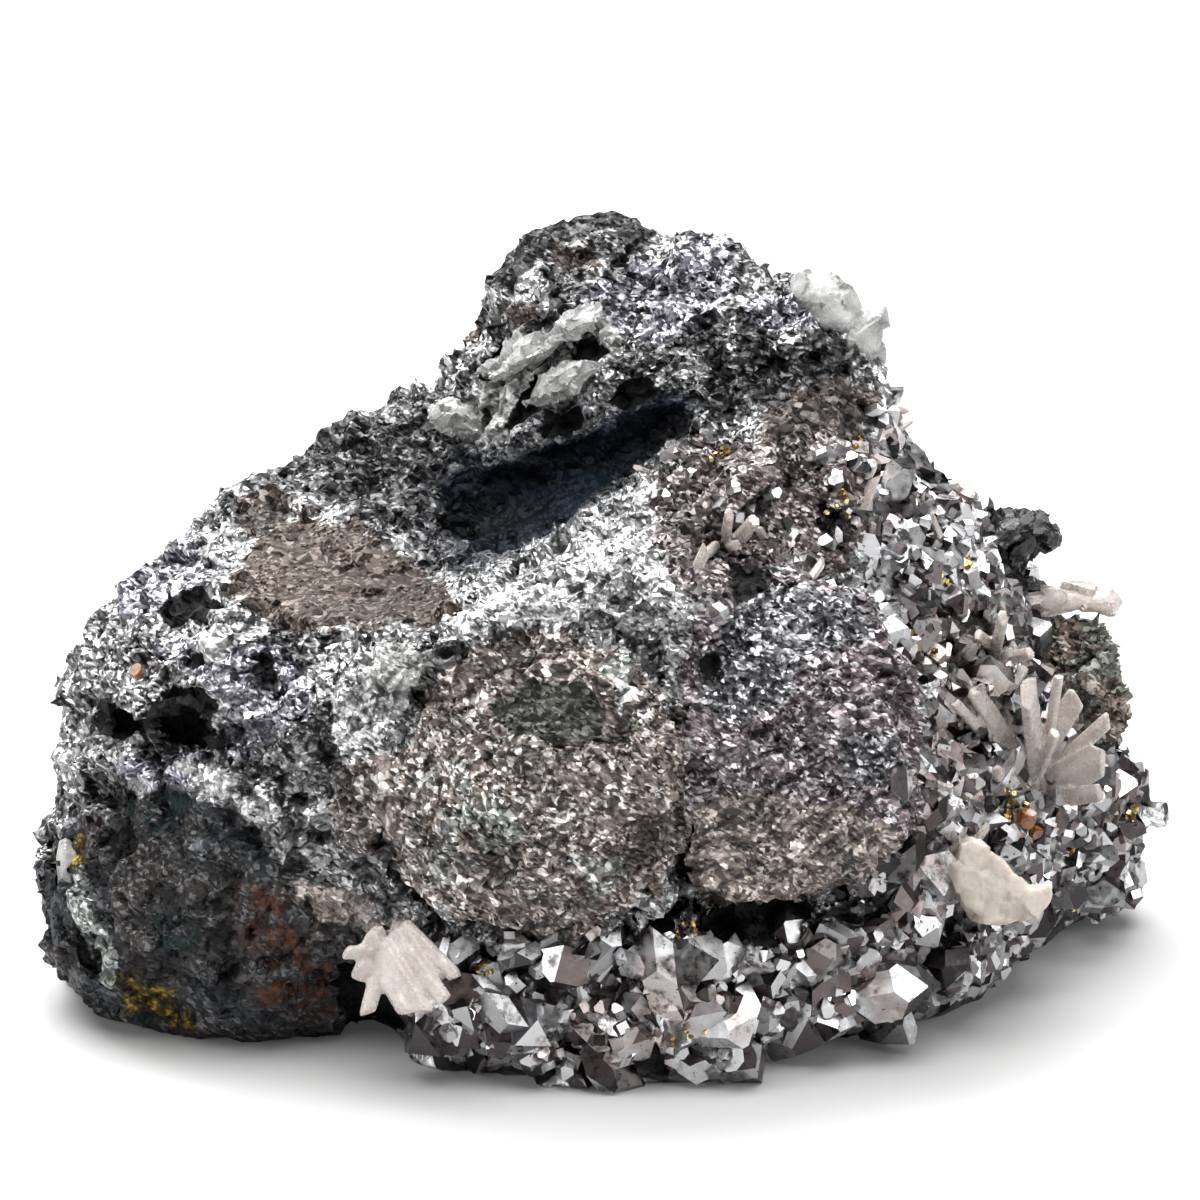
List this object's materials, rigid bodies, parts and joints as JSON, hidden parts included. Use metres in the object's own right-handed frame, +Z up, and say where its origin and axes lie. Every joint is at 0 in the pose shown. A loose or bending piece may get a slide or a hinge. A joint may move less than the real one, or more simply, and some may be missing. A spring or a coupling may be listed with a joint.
{
  "type": "skutterudite specimen",
  "caption": "Broken mass of silver-grey metallic ore with a crust of flat-faced crystals, quartz and calcite grown in, cut flat to stand.",
  "frame": {"origin": "middle of the bounding box's footprint, on the flat cut that the specimen rests on", "axes": "+Z up, +X along the longest extent towards the crystal-covered flank, front towards -Y"},
  "size_m": [0.152, 0.1088, 0.0966],
  "materials": {
    "ore": "broken silver-grey metallic ore, sparkling, with brownish and dark tarnished areas",
    "quartz": "milky to clear quartz",
    "calcite": "cream calcite, waxy gloss",
    "sphalerite": "black, resinous gloss",
    "wall_rock": "dull green-grey chloritic rock"
  },
  "bodies": {
    "root": {"ore_body": "ore", "quartz_spray": "quartz", "quartz_fingers": "quartz", "quartz_upper_prisms": "quartz", "quartz_vug_prisms": "quartz", "quartz_band_upper": "quartz", "quartz_band_lower": "quartz", "quartz_band_left": "quartz", "quartz_cap": "quartz", "quartz_ledge": "quartz", "quartz_strip": "quartz", "calcite_blade": "calcite", "sphalerite_lump": "sphalerite", "wall_rock": "wall_rock"}
  },
  "joints": []
}
